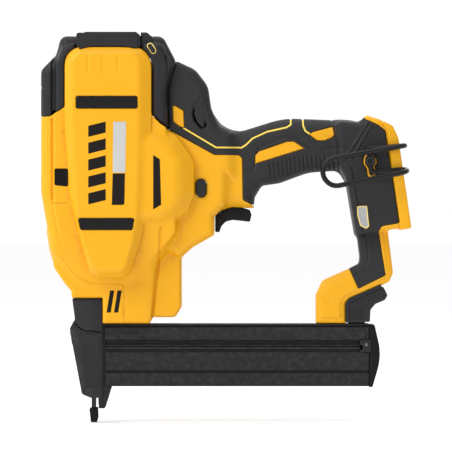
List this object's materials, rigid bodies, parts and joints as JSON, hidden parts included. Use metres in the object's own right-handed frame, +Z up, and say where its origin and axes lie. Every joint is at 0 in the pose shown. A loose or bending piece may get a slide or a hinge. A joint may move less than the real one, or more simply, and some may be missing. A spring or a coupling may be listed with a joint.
{
  "type": "cordless narrow crown stapler",
  "caption": "C-shaped cordless fastening tool: drive head with hinged nose door, horizontal grip with trigger, rear battery foot with belt hook, straight sliding magazine.",
  "frame": {"origin": "centre of the contact tip's bottom face", "axes": "+X from the nose to the battery foot, +Y to the tool's right, +Z up the drive line"},
  "size_m": [0.291, 0.0927, 0.3075],
  "materials": {
    "yellow_nylon": "fine spark-eroded texture",
    "black_nylon": "fine spark-eroded texture",
    "grip_rubber": "soft-touch matt",
    "pad_rubber": "matt",
    "hard_coated_aluminium": "satin hard coat",
    "tool_steel": "ground",
    "blackened_steel": "black oxide",
    "hook_wire": "black coated wire",
    "spring_steel": "drawn wire",
    "cast_aluminium": "machined",
    "bearing_steel": "polished",
    "copper_wire": "enamelled winding",
    "contact_brass": "tin-flashed blades",
    "board_green": "potted board",
    "grey_nylon": "moulded",
    "urethane": "cast",
    "lamp_lens": "frosted"
  },
  "bodies": {
    "housing": {"housing_left": "yellow_nylon", "housing_right": "yellow_nylon", "grip_overmold_left": "grip_rubber", "grip_overmold_right": "grip_rubber", "top_cap": "black_nylon", "bumper_strips": "grip_rubber", "housing_screws": "blackened_steel", "stall_lever_pin": "blackened_steel", "trigger_pin": "blackened_steel", "trigger_spring": "spring_steel", "trigger_switch": "grey_nylon", "depth_screw": "tool_steel", "nosepiece": "blackened_steel", "nose_shroud": "black_nylon", "contact_trip_spring": "spring_steel", "guide_rods": "bearing_steel", "return_springs": "spring_steel", "lower_bumper": "urethane", "upper_bumper": "urethane", "frame_plate_left": "cast_aluminium", "frame_plate_right": "cast_aluminium", "frame_spacers": "cast_aluminium", "stator": "grey_nylon", "coil_windings": "copper_wire", "motor_bearings": "bearing_steel", "roller_arm_pin": "bearing_steel", "solenoid": "blackened_steel", "magazine_body": "hard_coated_aluminium", "magazine_screws": "blackened_steel", "magazine_latch_pin": "blackened_steel", "magazine_latch_spring": "spring_steel", "latch_bracket": "blackened_steel", "battery_terminal_block": "black_nylon", "battery_terminals": "contact_brass", "controller_board": "board_green", "led_lamps": "lamp_lens", "belt_hook": "hook_wire", "belt_hook_screw": "blackened_steel"},
    "trigger": {"trigger": "black_nylon"},
    "lock_off_button": {"lock_off_button": "black_nylon"},
    "depth_wheel": {"depth_wheel": "black_nylon"},
    "stall_lever": {"stall_lever": "black_nylon"},
    "nose_door": {"nose_door": "blackened_steel", "nose_door_pin": "blackened_steel", "jam_latch_pin": "blackened_steel"},
    "jam_latch": {"jam_latch": "blackened_steel"},
    "contact_trip": {"contact_trip": "blackened_steel", "no_mar_pad": "pad_rubber"},
    "driver": {"driver_carriage": "cast_aluminium", "driver_blade": "tool_steel"},
    "flywheel": {"flywheel": "tool_steel", "motor_axle": "bearing_steel"},
    "roller_arm": {"roller_arm": "tool_steel", "roller_pin": "bearing_steel"},
    "pinch_roller": {"pinch_roller": "bearing_steel"},
    "magazine_slide": {"magazine_slide": "hard_coated_aluminium", "magazine_end_cap": "black_nylon"},
    "pusher": {"pusher": "tool_steel", "pusher_spring": "spring_steel"},
    "magazine_latch": {"magazine_latch": "black_nylon"}
  },
  "joints": [
    {"name": "trigger_pull", "type": "hinge", "parent": "housing", "child": "trigger", "pos_m": [0.099, 0, 0.166], "axis": [0, -1, 0], "range_deg": [0, 9], "stiffness_Nm_per_rad": 0.4, "springref_deg": -11.46, "deforming": ["trigger_spring"]},
    {"name": "lock_off", "type": "slide", "parent": "housing", "child": "lock_off_button", "axis": [0, 1, 0], "range_m": [0, 0.0055]},
    {"name": "depth_setting", "type": "hinge", "parent": "housing", "child": "depth_wheel", "pos_m": [0.0605, 0, 0.097], "axis": [0, 0, 1], "continuous": true},
    {"name": "stall_release", "type": "hinge", "parent": "housing", "child": "stall_lever", "pos_m": [-0.0085, 0, 0.3002], "axis": [0, -1, 0], "range_deg": [0, 60], "stiffness_Nm_per_rad": 0.06, "springref_deg": -11.46},
    {"name": "door_open", "type": "hinge", "parent": "housing", "child": "nose_door", "pos_m": [-0.0049, 0, 0.0255], "axis": [0, -1, 0], "range_deg": [0, 90]},
    {"name": "jam_latch_open", "type": "hinge", "parent": "nose_door", "child": "jam_latch", "pos_m": [-0.0148, 0, 0.064], "axis": [0, -1, 0], "range_deg": [0, 80]},
    {"name": "contact_press", "type": "slide", "parent": "housing", "child": "contact_trip", "axis": [0, 0, 1], "range_m": [0, 0.01], "stiffness_N_per_m": 250, "springref_m": -0.012, "deforming": ["contact_trip_spring"]},
    {"name": "drive_stroke", "type": "slide", "parent": "housing", "child": "driver", "axis": [0, 0, -1], "range_m": [0, 0.063], "stiffness_N_per_m": 60, "springref_m": -0.05, "deforming": ["return_springs"]},
    {"name": "flywheel_spin", "type": "hinge", "parent": "housing", "child": "flywheel", "pos_m": [0.0418, 0, 0.185], "axis": [0, 1, 0], "continuous": true},
    {"name": "roller_engage", "type": "hinge", "parent": "housing", "child": "roller_arm", "pos_m": [-0.015, 0, 0.164], "axis": [0, -1, 0], "range_deg": [0, 2], "stiffness_Nm_per_rad": 1.5, "springref_deg": -2.86},
    {"name": "roller_spin", "type": "hinge", "parent": "roller_arm", "child": "pinch_roller", "pos_m": [-0.0043, 0, 0.185], "axis": [0, 1, 0], "continuous": true},
    {"name": "magazine_open", "type": "slide", "parent": "housing", "child": "magazine_slide", "axis": [1, 0, 0], "range_m": [0, 0.11]},
    {"name": "pusher_travel", "type": "slide", "parent": "magazine_slide", "child": "pusher", "axis": [1, 0, 0], "range_m": [0, 0.15], "stiffness_N_per_m": 12, "springref_m": -0.12},
    {"name": "latch_press", "type": "hinge", "parent": "housing", "child": "magazine_latch", "pos_m": [0.212, 0, 0.086], "axis": [0, 1, 0], "range_deg": [0, 8], "stiffness_Nm_per_rad": 0.5, "springref_deg": -11.46, "deforming": ["magazine_latch_spring"]}
  ]
}
